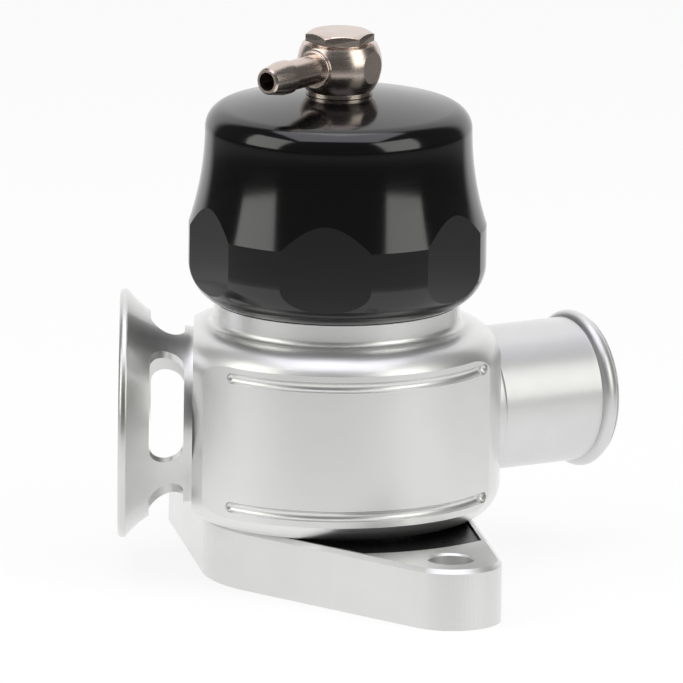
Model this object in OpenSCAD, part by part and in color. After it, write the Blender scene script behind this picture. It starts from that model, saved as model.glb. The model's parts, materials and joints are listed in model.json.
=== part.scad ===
// Blow off valve: a spring-loaded piston valve on a two-bolt base flange, with a slotted
// vent trumpet, a hose spigot and a banjo vacuum fitting. Millimetres, +Z up. The origin
// is on the valve axis at the underside of the flange, and the trumpet points along -X.

/* [Base flange] */
// Thickness of the flange
flange_t = 14.5; // [12:0.5:20]
// Distance between the two bolt holes
bolt_spacing = 113.8; // [108:0.2:126]
// Radius of the lug round each bolt hole
lug_r = 11.9; // [9:0.1:15]
// Radius of the flange round the valve axis
flange_r = 31.3; // [30.5:0.1:36]
// Direction of the front lug, in degrees from +X
flange_turn = -61.2; // [-80:0.2:-45]
// Radius of the bolt holes
bolt_hole_r = 5.35; // [3.2:0.05:6.5]
// Chamfer round the flange's top edge
flange_chamfer = 1; // [0.3:0.1:2]
// Radius of the inlet bore
inlet_r = 15.5; // [12:0.5:16]
// Depth of the pocket in the flange's top
pocket_depth = 3; // [1.5:0.5:6]
// Rim left round the pocket
pocket_rim = 1.8; // [1:0.1:2.4]
// Radius at which the pocket ends towards each lug
pocket_r = 46; // [38:0.5:47]
// Radius of the hub that carries the body
hub_r = 28; // [27.6:0.1:28.4]
// Thickness of the rubber pad in the pocket
pad_t = 2.4; // [1:0.1:3]

/* [Body] */
// Largest radius of the turned barrel
barrel_r = 38.8; // [37:0.1:42]
// Height of the barrel
barrel_h = 45.2; // [43:0.2:52]
// Rounding of the barrel's two ends
barrel_round = 7; // [4:0.5:9]
// Depth of the milled front below the barrel's largest radius
front_depth = 0.8; // [0.3:0.1:2]
// Half the angle that the milled front covers
front_half = 55; // [40:1:60]
// Depth of the two port faces below the barrel's largest radius
port_depth = 5.3; // [4:0.1:6.5]
// Radius of the neck under the cap
neck_r = 28.9; // [28:0.1:31]
// Height of the neck above the barrel
neck_h = 5.4; // [4:0.1:8]
// Fillet at the foot of the neck
neck_fillet = 2.8; // [1:0.1:3.5]
// Radius of the piston bore
bore_r = 20; // [18.5:0.1:20.4]
// Height of each front groove from the middle of the barrel
groove_rise = 15.2; // [8:0.1:17]
// Radius of the ball-nose cutter of the front grooves
groove_r = 1.3; // [0.6:0.1:2]
// Angle by which each groove ends short of the milled front's edge
groove_short = 1.2; // [0.8:0.1:10]
// Direction of the recirculation port, in degrees from +X
recirc_turn = 30; // [20:1:45]

/* [Cap] */
// Largest radius of the cap
cap_r = 35; // [33.5:0.1:40]
// Radius of the cap just below its top edge
cap_waist_r = 31.4; // [30:0.1:33]
// Height of the cap at its middle
cap_h = 49.7; // [46:0.1:56]
// Height of the straight band's top above the cap's foot
cap_land_top = 18.4; // [14:0.1:22]
// Rounding of the cap's foot
cap_foot_round = 10; // [8:0.5:11]
// Rounding of the cap's top edge
cap_edge_round = 3; // [1:0.1:4]
// Radius of the domed top
cap_dome_r = 122; // [90:1:200]
// Distance of the six flats from the axis
cap_flat = 33.3; // [32.6:0.1:33.5]
// Turn of the flats, in degrees
cap_turn = -94.6; // [-120:0.2:-60]
// Thickness of the cap's top
cap_roof = 11; // [8:0.5:14]
// Radius of the thread between cap and body
cap_thread_r = 26; // [24.5:0.1:26.5]

/* [Piston and spring] */
// Length of the piston
piston_h = 49; // [46:0.5:51]
// Wall of the piston's skirt
piston_wall = 2.5; // [2:0.1:3]
// Thickness of the piston's closed end
piston_floor = 5; // [4:0.5:8]
// Travel of the piston, up to its stop on the spring's seat
piston_lift = 14; // [8:0.5:14.5]
// Radius of the spring wire
wire_r = 1.5; // [0.8:0.1:1.6]
// Active turns of the spring
spring_turns = 7; // [5:1:9]

/* [Trumpet] */
// Length of the trumpet outside the body
trumpet_len = 17.4; // [15:0.1:24]
// Radius of the trumpet's rim
trumpet_rim_r = 29.3; // [28.5:0.1:33]
// Radius of the trumpet's throat bore
throat_r = 17.6; // [16:0.1:17.8]
// Wall of the trumpet
trumpet_wall = 2.8; // [2:0.1:3]
// Radius of the flare, seen in section from outside
flare_r = 23; // [20:0.5:26]
// Width of each slot
slot_w = 8.1; // [5:0.1:9]
// Half the angle of each slot
slot_half = 36.3; // [20:0.1:38]

/* [Hose spigot] */
// Outside radius of the hose spigot
spigot_r = 17; // [15.5:0.1:17]
// Wall of the hose spigot
spigot_wall = 2.5; // [1.8:0.1:3]
// Length of the hose spigot outside the body
spigot_len = 33.9; // [28:0.1:56]
// Radius of the hose bead
bead_r = 18.7; // [17.6:0.1:19.5]
// Radius of the collar at the spigot's foot
collar_r = 18.1; // [17.8:0.1:19]
// Thickness of that collar
collar_t = 3.3; // [2:0.1:5]

/* [Banjo fitting] */
// Radius of the banjo's ball
ball_r = 10; // [9:0.1:12]
// Direction of the hose barb, in degrees from +X
barb_turn = -128; // [-180:1:180]
// Distance of the barb's tip from the middle of the ball
barb_reach = 27.5; // [24:0.5:36]
// Radius of the barb's stem
stem_r = 3.5; // [3:0.1:4.2]
// Radius of the barb's step
barb_r = 4; // [3.6:0.1:5]
// Radius of the hole through the barb
barb_bore_r = 2.2; // [1:0.1:2.4]
// Width across the flats of the bolt's head
hex_af = 14; // [12:0.5:17]
// Turn of the bolt's head, in degrees
hex_turn = 4; // [0:1:59]
// Radius of the bolt's shank
bolt_r = 4; // [3:0.1:4.5]

/* [Clearances] */
// Radial clearance of the piston in its bore
piston_clearance = 0.03; // [0.02:0.01:0.08]
// Radial clearance of parts that screw or slip together
fit_clearance = 0.1; // [0.05:0.01:0.2]
// Room left between the piston and what it stops against
stop_clearance = 0.3; // [0.2:0.05:0.6]

/* [Hidden] */
$fn = 96;
eps = 0.01;
arc_steps = 18;

silver = "#d6d6d4";
black = "#16171a";
rubber = "#202124";
nickel = "#b9b0a2";

// Heights
body_z = flange_t;
barrel_top = body_z + barrel_h;
port_z = body_z + barrel_h / 2;
cap_z = barrel_top + neck_h;
land_z = cap_z + cap_land_top;
dome_z = cap_z + cap_h;
ceiling_z = dome_z - cap_roof;
trumpet_turn = 180;
front_turn = (trumpet_turn + recirc_turn + 360) / 2;
groove_half = front_half - groove_short;

// Base flange
lug_x = bolt_spacing / 2;
tangent = acos((flange_r - lug_r) / lug_x);
hole_chamfer = 0.5;
pad_sink = 0.1;
// the straight sides and their chamfers stand in by these steps, so they cross the
// arcs cleanly, and the chamfers run past the tangent points by the lap
side_step = 0.02;
edge_step = 0.06;
edge_lap = 3;
screw_half = 30;
screw_pcr = 25.2;
screw_r = 2;
screw_head_r = 3.5;
screw_head_h = 4;
screw_sink = 0.6;
screw_hex_af = 3;
screw_hex_depth = 2;
screw_grip = 5.5;
screw_tip_room = 1;
seat_z = screw_sink + screw_head_h;

// Rings of rubber: middle radius, width and height of their grooves
ring_w = 2.2;
ring_h = 1.6;
inlet_ring_out = 2.6;
inlet_ring_r = inlet_r + inlet_ring_out;
base_ring_out = 1.7;
base_ring_r = bore_r + base_ring_out;
base_ring_w = 2;
cap_ring_drop = 4;
face_ring_r = 17.5;
face_ring_w = 2;
ring_recess = 0.1;

cap_foot_step = 0.2;

// Piston
piston_r = bore_r - piston_clearance;
piston_gap = 0.5;
piston_lead = 0.6;
piston_z = body_z + piston_gap;
piston_top = piston_z + piston_h;
piston_bore_r = piston_r - piston_wall;
piston_ring_drop = 6.8;
piston_ring_z = piston_top - piston_ring_drop;
piston_ring_d = 1.5;
band_drop = 3;
band_z = piston_top - band_drop;
band_h = 3;
band_d = 1;
band_gap = 1;
spring_room = 0.9;
spring_mid_r = piston_bore_r - wire_r - spring_room;
spring_foot = piston_z + piston_floor + stop_clearance;
spring_gap = 0.15;
seat_flange_t = 2;
seat_flange_out = 1;
spring_head = ceiling_z - seat_flange_t;
seat_sleeve_room = 0.4;
seat_sleeve_taper = 0.6;
seat_sleeve_wall = 3;
seat_sleeve_foot = piston_z + piston_floor + piston_lift + stop_clearance;

// Thread between body and cap, as high as the bore must guide the piston
thread_room = 0.1;
thread_relief = 0.5;
thread_top = piston_top + piston_lift + thread_room;
chamber_step = 1;
chamber_r = cap_thread_r - chamber_step;

// Ports
front_r = barrel_r - front_depth;
port_face = barrel_r - port_depth;
shank_len = 6.1;
shank_face = port_face - shank_len;
port_ring_t = 1.4;
port_step = shank_face - port_ring_t;
trumpet_shank_wall = 1.6;
trumpet_shank_r = throat_r + trumpet_shank_wall;
trumpet_face = port_face + trumpet_len;
spigot_bore_r = spigot_r - spigot_wall;
spigot_shank_wall = 1.8;
spigot_shank_r = spigot_bore_r + spigot_shank_wall;
spigot_end = port_face + spigot_len;
flare_back = 2.5;
flare_a = port_face - flare_back;
flare_c = throat_r + trumpet_wall + flare_r;
flare_foot = 0.6;
foot_out = 0.2;
lip_round = 1.1;
lip_t = 2.6;
lip_in = 0.3;
lip_step = 0.6;
mouth_in = 0.2;
slot_out = 6.1;
slot_mid = port_face + slot_out;
slot_turn = 17.7;
bead_back = 3.4;
bead_a = spigot_end - bead_back;
bead_round = 2.6;
end_lip = 0.4;
end_lip_r = spigot_r + end_lip;
end_edge = 0.8;
end_step = 0.6;
collar_round = 1;
front_lap = 3;
groove_out = 0.25;
groove_plunge = 1.04;

// Banjo
washer_t = 1;
upper_washer_t = 0.5;
washer_r = 7.85;
washer_step = 0.7;
spot_room = 0.4;
spot_depth = 0.2;
boss_z = dome_z - spot_depth;
ball_foot = boss_z + washer_t;
ball_below = 6.2;
ball_above = 4.9;
ball_z = ball_foot + ball_below;
ball_head = ball_z + ball_above;
bolt_head_z = ball_head + upper_washer_t;
bolt_tip_room = 1;
hex_h = 2.3;
hex_chamfer = 0.7;
bolt_hole_clear = bolt_r + fit_clearance;
bolt_bore_r = 1.7;
ball_flat = 8.6;
stem_collar_r = 4.6;
stem_collar_end = 10.2;
barb_len = 7.7;
barb_cone = 5;
barb_edge = 0.4;
barb_tip_r = 3.15;
barb_tip_edge = 0.3;
gallery_w = 1.5;
gallery_h = 4;

// Points along an arc of the section plane, from angle a0 to a1
function arc(cx, cy, r, a0, a1, n = arc_steps) =
    [for (i = [0:n]) let (a = a0 + (a1 - a0) * i / n) [cx + r * cos(a), cy + r * sin(a)]];

// A rubber ring squeezed flat between two faces
module flat_ring(mid_r, z, w, h) {
    translate([0, 0, z])
        rotate_extrude()
            translate([mid_r, h / 2])
                intersection() {
                    circle(d = w);
                    square([w, h], center = true);
                }
}

// A tube between two heights
module tube(r_out, r_in, z, h) {
    translate([0, 0, z])
        difference() {
            cylinder(r = r_out, h = h);
            translate([0, 0, -eps]) cylinder(r = r_in, h = h + 2 * eps);
        }
}

// Turns an axis along +Z into a port's axis, outwards from the valve axis
module along_port(turn, z = port_z) {
    translate([0, 0, z]) rotate([0, 0, turn]) rotate([0, 90, 0]) children();
}

// Plan of the flange, drawn in by an inset: three circles and the sides that join them
module flange_plan(inset = 0) {
    hub = flange_r - inset;
    lug = lug_r - inset;
    hub_side = (hub - side_step) * [cos(tangent), sin(tangent)];
    lug_side = (lug - side_step) * [cos(tangent), sin(tangent)] + [lug_x, 0];
    rotate(flange_turn) {
        circle(r = hub);
        for (end = [0, 180]) rotate(end) {
            translate([lug_x, 0]) circle(r = lug);
            polygon([[0, -hub_side.y], [hub_side.x, -hub_side.y],
                     [lug_side.x, -lug_side.y], [lug_side.x, lug_side.y],
                     [hub_side.x, hub_side.y], [0, hub_side.y]]);
        }
    }
}

// Plan of the pocket in the flange's top, drawn in by an inset
module pocket_plan(inset = 0) {
    difference() {
        intersection() {
            flange_plan(pocket_rim + inset);
            circle(r = pocket_r - inset);
        }
        circle(r = hub_r + inset);
    }
}

// Places its children at the flange's two bolt holes
module at_bolts() {
    for (s = [-1, 1]) rotate(flange_turn) translate([s * lug_x, 0, 0]) children();
}

// Places its children at the four screws that hold the flange to the body
module at_screws() {
    for (side = [0, 180], s = [-1, 1])
        rotate(flange_turn + side + s * screw_half) translate([screw_pcr, 0, 0]) children();
}

// Section of the cut that chamfers a top edge, from the edge outwards
module chamfer_section(c) {
    polygon([[-c - eps, eps], [c, eps], [c, -c], [0, -c]]);
}

// Chamfer of the flange's top edge, cut along its arcs and its straight sides
module flange_edge_cut() {
    c = flange_chamfer;
    run = lug_x * sin(tangent);
    translate([0, 0, flange_t]) rotate([0, 0, flange_turn])
        for (s = [0, 180]) rotate([0, 0, s]) {
            translate([lug_x, 0, 0])
                rotate([0, 0, -tangent])
                    rotate_extrude(angle = 2 * tangent)
                        translate([lug_r, 0]) chamfer_section(c);
            rotate([0, 0, tangent])
                rotate_extrude(angle = 180 - 2 * tangent)
                    translate([flange_r, 0]) chamfer_section(c);
            for (t = [0, 1]) mirror([0, t, 0])
                rotate([0, 0, tangent])
                    translate([flange_r - edge_step, edge_lap, 0])
                        rotate([90, 0, 0])
                            linear_extrude(run + 2 * edge_lap) chamfer_section(c);
        }
}

module base_flange() {
    color(silver)
        difference() {
            linear_extrude(flange_t) flange_plan();
            flange_edge_cut();
            translate([0, 0, flange_t - pocket_depth])
                linear_extrude(pocket_depth + 1) pocket_plan();
            translate([0, 0, -1]) cylinder(r = inlet_r, h = flange_t + 2);
            at_bolts() {
                translate([0, 0, -1]) cylinder(r = bolt_hole_r, h = flange_t + 2);
                translate([0, 0, flange_t - hole_chamfer])
                    cylinder(r1 = bolt_hole_r, r2 = bolt_hole_r + 2 * hole_chamfer,
                             h = 2 * hole_chamfer);
            }
            tube(inlet_ring_r + ring_w / 2, inlet_ring_r - ring_w / 2, -1, ring_h + 1);
            tube(base_ring_r + base_ring_w / 2, base_ring_r - base_ring_w / 2,
                 flange_t - ring_h, ring_h + 1);
            at_screws() {
                translate([0, 0, -1])
                    cylinder(r = screw_head_r + fit_clearance, h = seat_z + 1);
                cylinder(r = screw_r + fit_clearance, h = flange_t + 1);
            }
        }
}

module seal_pad() {
    color(rubber)
        translate([0, 0, flange_t - pocket_depth])
            linear_extrude(min(pad_t, pocket_depth - pad_sink)) pocket_plan(fit_clearance);
}

module inlet_o_ring() {
    color(rubber) flat_ring(inlet_ring_r, ring_recess, ring_w, ring_h - ring_recess);
}

module base_o_ring() {
    color(rubber) flat_ring(base_ring_r, flange_t - ring_h, base_ring_w, ring_h);
}

module flange_screws() {
    color("#3a3b3e")
        at_screws()
            difference() {
                union() {
                    translate([0, 0, screw_sink]) cylinder(r = screw_head_r, h = screw_head_h);
                    translate([0, 0, seat_z - eps])
                        cylinder(r = screw_r, h = flange_t + screw_grip - seat_z + eps);
                }
                translate([0, 0, screw_sink - eps])
                    cylinder(d = screw_hex_af / cos(30), h = screw_hex_depth, $fn = 6);
            }
}

// Half section of the body's turned outside
module body_section() {
    end_round = min(barrel_round, barrel_r - neck_r - neck_fillet);
    r = barrel_r - end_round;
    polygon(concat(
        [[0, body_z], [r, body_z]],
        arc(r, body_z + end_round, end_round, -90, 0),
        arc(r, barrel_top - end_round, end_round, 0, 90),
        arc(neck_r + neck_fillet, barrel_top + neck_fillet, neck_fillet, 270, 180),
        [[neck_r, cap_z], [cap_thread_r, cap_z], [cap_thread_r, thread_top], [0, thread_top]]
    ));
}

// What the mill takes off the barrel's front: an arc that runs out in two tangent flats
module front_cut() {
    far = 2 * barrel_r;
    depth = barrel_r - front_r + 1;
    run = sqrt(pow(barrel_r, 2) - pow(front_r, 2)) + 2;
    rotate(front_turn) {
        difference() {
            polygon([[0, 0], far * [cos(front_half), -sin(front_half)],
                     [far, -far * tan(front_half / 2)], [far, far * tan(front_half / 2)],
                     far * [cos(front_half), sin(front_half)]]);
            circle(r = front_r);
        }
        for (s = [-1, 1])
            rotate(s * front_half)
                translate([front_r, s > 0 ? -front_lap : -run]) square([depth, run + front_lap]);
    }
}

// One ball-nose groove along the milled front, with a plunge of the cutter at each end
module front_groove(z) {
    out = front_r + groove_r * groove_out;
    translate([0, 0, z])
        rotate([0, 0, front_turn]) {
            rotate([0, 0, -groove_half])
                rotate_extrude(angle = 2 * groove_half)
                    translate([out, 0]) circle(r = groove_r, $fn = 32);
            for (s = [-1, 1])
                rotate([0, 0, s * groove_half])
                    translate([out, 0, 0]) sphere(r = groove_r * groove_plunge, $fn = 32);
        }
}

// Room for a port: the face, the shank's seat and the passage into the bore
module port_cut(turn, shank_r, passage_r) {
    far = 2 * barrel_r;
    along_port(turn) {
        translate([-far / 2, -far / 2, port_face]) cube([far, far, barrel_r]);
        translate([0, 0, port_step]) cylinder(r = shank_r + fit_clearance, h = barrel_r);
        cylinder(r = passage_r, h = barrel_r);
    }
}

module body() {
    color(silver)
        difference() {
            rotate_extrude() body_section();
            translate([0, 0, body_z - 1])
                linear_extrude(barrel_h + neck_h) front_cut();
            for (s = [-1, 1]) front_groove(port_z + s * groove_rise);
            port_cut(trumpet_turn, trumpet_shank_r, throat_r);
            port_cut(recirc_turn, spigot_shank_r, spigot_bore_r);
            translate([0, 0, body_z - 1]) cylinder(r = bore_r, h = thread_top);
            translate([0, 0, body_z - 1]) at_screws()
                cylinder(r = screw_r + fit_clearance, h = screw_grip + screw_tip_room + 1);
            tube(cap_thread_r + 1, cap_thread_r - ring_h, thread_top - cap_ring_drop, ring_w);
        }
}

// Half section of the cap's outside
module cap_section() {
    dome_c = dome_z - cap_dome_r;
    edge_r = cap_waist_r - cap_edge_round;
    edge_z = dome_c + sqrt(pow(cap_dome_r - cap_edge_round, 2) - pow(edge_r, 2));
    edge_a = atan2(edge_z - dome_c, edge_r);
    waist_c = (pow(cap_r - cap_waist_r, 2) + pow(edge_z - land_z, 2))
        / (2 * (cap_r - cap_waist_r));
    waist_a = asin((edge_z - land_z) / waist_c);
    foot_c = cap_r - cap_foot_round;
    foot_a = acos((neck_r - foot_c) / cap_foot_round);
    foot_z = cap_z + cap_foot_step + cap_foot_round * sin(foot_a);
    polygon(concat(
        [[0, cap_z], [neck_r, cap_z]],
        arc(foot_c, foot_z, cap_foot_round, -foot_a, 0),
        arc(cap_waist_r + waist_c, edge_z, waist_c, 180 + waist_a, 180),
        arc(edge_r, edge_z, cap_edge_round, 0, edge_a),
        arc(0, dome_c, cap_dome_r, edge_a, 90)
    ));
}

module cap() {
    color(black)
        difference() {
            rotate_extrude() cap_section();
            for (k = [0:5])
                rotate([0, 0, cap_turn + 60 * k])
                    translate([cap_flat, -cap_r, cap_z - 1])
                        cube([cap_r, 2 * cap_r, cap_h]);
            translate([0, 0, cap_z - 1])
                cylinder(r = cap_thread_r + fit_clearance, h = thread_top - cap_z + thread_relief + 1);
            translate([0, 0, cap_z]) cylinder(r = chamber_r, h = ceiling_z - cap_z);
            cylinder(r = bolt_hole_clear, h = dome_z + 1);
            translate([0, 0, boss_z]) cylinder(r = washer_r + spot_room, h = 1);
        }
}

module cap_o_ring() {
    color(rubber)
        translate([0, 0, thread_top - cap_ring_drop])
            rotate_extrude()
                translate([cap_thread_r - (ring_h - fit_clearance) / 2, ring_w / 2])
                    intersection() {
                        circle(d = ring_w);
                        square([ring_h + fit_clearance - eps, ring_w], center = true);
                    }
}

module piston() {
    lead = piston_lead;
    color(silver)
        difference() {
            translate([0, 0, piston_z])
                rotate_extrude()
                    polygon([[0, 0], [piston_r - lead, 0], [piston_r, lead],
                             [piston_r, piston_h - lead], [piston_r - lead, piston_h],
                             [0, piston_h]]);
            translate([0, 0, piston_z + piston_floor]) cylinder(r = piston_bore_r, h = piston_h);
            tube(bore_r + 1, piston_r - piston_ring_d, piston_ring_z, ring_w);
            tube(bore_r + 1, piston_r - band_d, band_z - band_h / 2, band_h);
            tube(face_ring_r + face_ring_w / 2, face_ring_r - face_ring_w / 2,
                 piston_z - 1, ring_h + 1);
        }
}

module piston_wear_band() {
    color("#c9b487")
        difference() {
            tube(piston_r, piston_r - band_d, band_z - band_h / 2, band_h);
            translate([0, -band_gap / 2, band_z - band_h])
                cube([2 * bore_r, band_gap, 2 * band_h]);
        }
}

module piston_o_ring() {
    color(rubber)
        translate([0, 0, piston_ring_z])
            rotate_extrude()
                translate([piston_r - piston_ring_d / 2, ring_w / 2])
                    intersection() {
                        circle(d = ring_w);
                        square([piston_ring_d, ring_w], center = true);
                    }
}

module piston_face_seal() {
    drop = piston_z - body_z - stop_clearance;
    color(rubber) flat_ring(face_ring_r, piston_z - drop, face_ring_w, ring_h + drop);
}

// Points of the spring's wire: a dead turn at each end and even turns between
module main_spring() {
    sides = 8;
    per_turn = 24;
    dead = 1;
    turns = spring_turns + 2 * dead;
    n = turns * per_turn;
    low = spring_foot + wire_r;
    high = spring_head - wire_r;
    close = 2 * wire_r + spring_gap;
    pitch = (high - low - 2 * dead * close) / spring_turns;
    function wire_z(t) = t < dead ? low + t * close
        : t > turns - dead ? high - (turns - t) * close
        : low + dead * close + (t - dead) * pitch;
    function ring_points(i) = let (t = i / per_turn, a = 360 * t)
        [for (k = [0:sides - 1]) let (b = 360 * k / sides, r = spring_mid_r + wire_r * cos(b))
            [r * cos(a), r * sin(a), wire_z(t) + wire_r * sin(b)]];
    points = [for (i = [0:n]) each ring_points(i)];
    sides_of = [for (i = [0:n - 1], k = [0:sides - 1])
        let (j = (k + 1) % sides)
            [i * sides + k, i * sides + j, (i + 1) * sides + j, (i + 1) * sides + k]];
    color("#8d8f92")
        polyhedron(points, concat(
            [[for (k = [sides - 1:-1:0]) k]], sides_of, [[for (k = [0:sides - 1]) n * sides + k]]));
}

// Upper seat of the spring, with a sleeve inside the coils that stops the piston
module spring_seat() {
    sleeve_r = spring_mid_r - wire_r - seat_sleeve_room;
    color("#d9d7cf")
        difference() {
            union() {
                translate([0, 0, spring_head])
                    cylinder(r = spring_mid_r + wire_r + seat_flange_out, h = seat_flange_t);
                translate([0, 0, seat_sleeve_foot])
                    cylinder(r1 = sleeve_r - seat_sleeve_taper, r2 = sleeve_r,
                             h = spring_head - seat_sleeve_foot + eps);
            }
            translate([0, 0, seat_sleeve_foot - 1])
                cylinder(r = sleeve_r - seat_sleeve_wall, h = ceiling_z - seat_sleeve_foot + 2);
        }
}

// Half section of the trumpet: radius across, distance from the valve axis upwards
module trumpet_section() {
    rim_back = trumpet_face - lip_t;
    inner_r = flare_r + trumpet_wall;
    lip_a = flare_a + sqrt(pow(flare_r, 2) - pow(flare_c - trumpet_rim_r + lip_in, 2));
    polygon(concat(
        [[throat_r, shank_face], [trumpet_shank_r, shank_face], [trumpet_shank_r, port_face],
         [throat_r + trumpet_wall + foot_out, port_face]],
        arc(flare_c, flare_a, flare_r, 180 - asin((port_face + flare_foot - flare_a) / flare_r),
            180 - asin((lip_a - flare_a) / flare_r)),
        arc(trumpet_rim_r - lip_round, max(lip_a + lip_step, rim_back + lip_round), lip_round,
            -30, 0, 6),
        arc(trumpet_rim_r - lip_round, trumpet_face - lip_round, lip_round, 0, 90, 8),
        arc(flare_c, flare_a, inner_r, 180 - asin((trumpet_face - mouth_in - flare_a) / inner_r), 180)
    ));
}

// One slot of the trumpet's neck: a sector with round ends
module trumpet_slot() {
    end_r = slot_w / 2;
    far = 2 * trumpet_rim_r;
    mid_r = throat_r + trumpet_wall;
    half = slot_half - asin(end_r / (mid_r + 1));
    translate([0, 0, slot_mid - end_r])
        linear_extrude(slot_w)
            polygon([[0, 0], far * [cos(half), -sin(half)], far * [1, 0],
                     far * [cos(half), sin(half)]]);
    for (s = [-1, 1])
        rotate([0, 0, s * half])
            translate([0, 0, slot_mid]) rotate([0, 90, 0]) cylinder(r = end_r, h = far);
}

module trumpet() {
    color(silver)
        along_port(trumpet_turn)
            difference() {
                rotate_extrude() trumpet_section();
                for (k = [0:3]) rotate([0, 0, 90 + slot_turn + 90 * k]) trumpet_slot();
            }
}

module trumpet_o_ring() {
    color(rubber)
        along_port(trumpet_turn)
            flat_ring((throat_r + trumpet_shank_r) / 2, port_step,
                      trumpet_shank_r - throat_r, port_ring_t);
}

// Half section of the hose spigot: radius across, distance from the valve axis upwards
module spigot_section() {
    bead_half = sqrt(pow(bead_round, 2) - pow(bead_round - bead_r + spigot_r, 2));
    bead_a0 = atan2(bead_half, bead_round - bead_r + spigot_r);
    collar_end = port_face + collar_t;
    edge = end_edge;
    polygon(concat(
        [[spigot_bore_r, shank_face], [spigot_shank_r, shank_face], [spigot_shank_r, port_face],
         [collar_r, port_face]],
        arc(collar_r - collar_round, collar_end - collar_round, collar_round, 0, 90, 6),
        [[spigot_r, collar_end], [spigot_r, bead_a - bead_half]],
        arc(bead_r - bead_round, bead_a, bead_round, -bead_a0, bead_a0, 12),
        [[end_lip_r, bead_a + bead_half + end_step]],
        arc(end_lip_r - edge, spigot_end - edge, edge, 0, 90, 6),
        [[spigot_bore_r + edge, spigot_end], [spigot_bore_r, spigot_end - edge]]
    ));
}

module recirc_spigot() {
    color(silver) along_port(recirc_turn) rotate_extrude() spigot_section();
}

module recirc_o_ring() {
    color(rubber)
        along_port(recirc_turn)
            flat_ring((spigot_bore_r + spigot_shank_r) / 2, port_step,
                      spigot_shank_r - spigot_bore_r, port_ring_t);
}

module banjo_bolt() {
    tip = ceiling_z + bolt_tip_room;
    corner = hex_af / 2 / cos(30);
    color(nickel)
        difference() {
            union() {
                translate([0, 0, tip]) cylinder(r = bolt_r, h = bolt_head_z - tip + eps);
                translate([0, 0, bolt_head_z])
                    intersection() {
                        rotate([0, 0, hex_turn]) cylinder(r = corner, h = hex_h, $fn = 6);
                        union() {
                            cylinder(r = corner + 1, h = hex_h - hex_chamfer);
                            translate([0, 0, hex_h - hex_chamfer - eps])
                                cylinder(r1 = corner + eps, r2 = corner - 2 * hex_chamfer,
                                         h = hex_chamfer + eps);
                        }
                    }
            }
            translate([0, 0, tip - 1]) cylinder(r = bolt_bore_r, h = ball_z - tip + 1);
            along_port(barb_turn, ball_z)
                translate([0, 0, -2 * bolt_r]) cylinder(r = bolt_bore_r, h = 4 * bolt_r);
        }
}

// Half section of the barb along its axis, from the middle of the ball outwards
module barb_section() {
    polygon([
        [0, 0], [stem_collar_r, 0], [stem_collar_r, stem_collar_end - barb_edge],
        [stem_collar_r - barb_edge, stem_collar_end], [stem_r, stem_collar_end],
        [stem_r, barb_reach - barb_len], [barb_r, barb_reach - barb_len + barb_edge],
        [barb_r, barb_reach - barb_cone], [barb_tip_r, barb_reach - barb_tip_edge],
        [barb_tip_r - barb_tip_edge, barb_reach], [0, barb_reach]
    ]);
}

module banjo_fitting() {
    wide = 3 * ball_r;
    color(nickel)
        difference() {
            union() {
                translate([0, 0, ball_z])
                    intersection() {
                        sphere(r = ball_r);
                        rotate([0, 0, barb_turn])
                            translate([-ball_r - 1, -ball_flat, ball_foot - ball_z])
                                cube([2 * ball_r + 2, 2 * ball_flat, ball_head - ball_foot]);
                    }
                along_port(barb_turn, ball_z) rotate_extrude() barb_section();
            }
            translate([0, 0, ball_foot - 1])
                cylinder(r = bolt_hole_clear, h = ball_head - ball_foot + 2);
            translate([0, 0, ball_z - gallery_h / 2]) cylinder(r = bolt_r + gallery_w, h = gallery_h);
            along_port(barb_turn, ball_z) cylinder(r = barb_bore_r, h = wide);
        }
}

module banjo_upper_washer() {
    color(nickel) tube(washer_r - washer_step, bolt_hole_clear, ball_head, upper_washer_t);
}

module banjo_lower_washer() {
    color(nickel) tube(washer_r, bolt_hole_clear, boss_z, washer_t);
}

base_flange();
seal_pad();
inlet_o_ring();
flange_screws();
base_o_ring();
body();
cap();
cap_o_ring();
piston();
piston_wear_band();
piston_o_ring();
piston_face_seal();
main_spring();
spring_seat();
trumpet();
trumpet_o_ring();
recirc_spigot();
recirc_o_ring();
banjo_bolt();
banjo_fitting();
banjo_upper_washer();
banjo_lower_washer();
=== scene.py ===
import bmesh
import bpy
import json
import math
from mathutils import Matrix, Vector

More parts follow.
